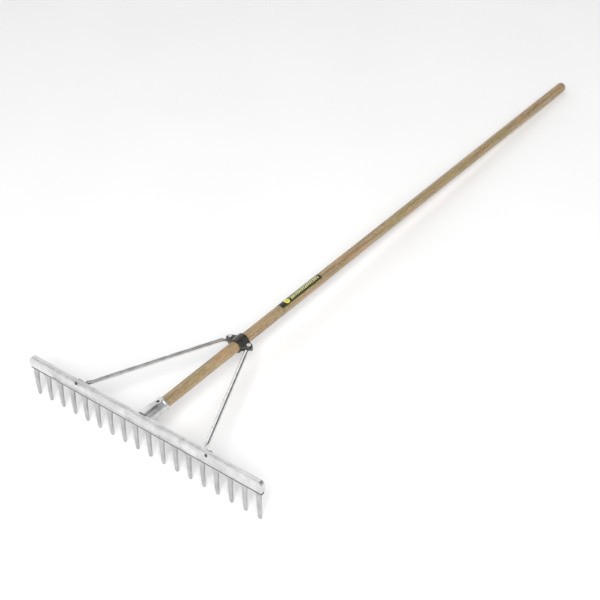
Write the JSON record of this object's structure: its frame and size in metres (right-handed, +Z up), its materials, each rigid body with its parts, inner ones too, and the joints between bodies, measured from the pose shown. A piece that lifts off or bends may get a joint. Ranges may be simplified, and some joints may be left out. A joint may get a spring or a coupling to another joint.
{
  "type": "landscape rake",
  "caption": "Wide straight-headed aluminium rake with tapered tines, a cast socket, a long round wooden handle and two tube stays clamped to it.",
  "frame": {"origin": "under the middle of the rake's overall box, on the ground it lies on", "axes": "+Z up; +Y up the handle, away from the head; +X along the head; the rake stands on its tine tips and its handle's end"},
  "size_m": [0.702, 1.8614, 0.1139],
  "materials": {
    "cast_aluminium": "satin, as cast and tumbled",
    "tube_aluminium": "bright drawn tube",
    "ash": "lacquered ash",
    "black_paint": "black semi-gloss paint",
    "steel": "bright zinc plate",
    "label": null
  },
  "bodies": {
    "root": {"rake_bar": "cast_aluminium", "tine_01": "cast_aluminium", "tine_02": "cast_aluminium", "tine_03": "cast_aluminium", "tine_04": "cast_aluminium", "tine_05": "cast_aluminium", "tine_06": "cast_aluminium", "tine_07": "cast_aluminium", "tine_08": "cast_aluminium", "tine_09": "cast_aluminium", "tine_10": "cast_aluminium", "tine_11": "cast_aluminium", "tine_12": "cast_aluminium", "tine_13": "cast_aluminium", "tine_14": "cast_aluminium", "tine_15": "cast_aluminium", "tine_16": "cast_aluminium", "tine_17": "cast_aluminium", "tine_18": "cast_aluminium", "handle_socket": "cast_aluminium", "handle": "ash", "handle_screw": "steel", "stay_left": "tube_aluminium", "stay_right": "tube_aluminium", "stay_rivet_left": "steel", "stay_rivet_right": "steel", "clamp_upper": "black_paint", "clamp_lower": "black_paint", "clamp_bolt_left": "steel", "clamp_bolt_right": "steel", "clamp_washer_left": "steel", "clamp_washer_right": "steel", "clamp_nut_left": "steel", "clamp_nut_right": "steel", "handle_label": "label"}
  },
  "joints": []
}
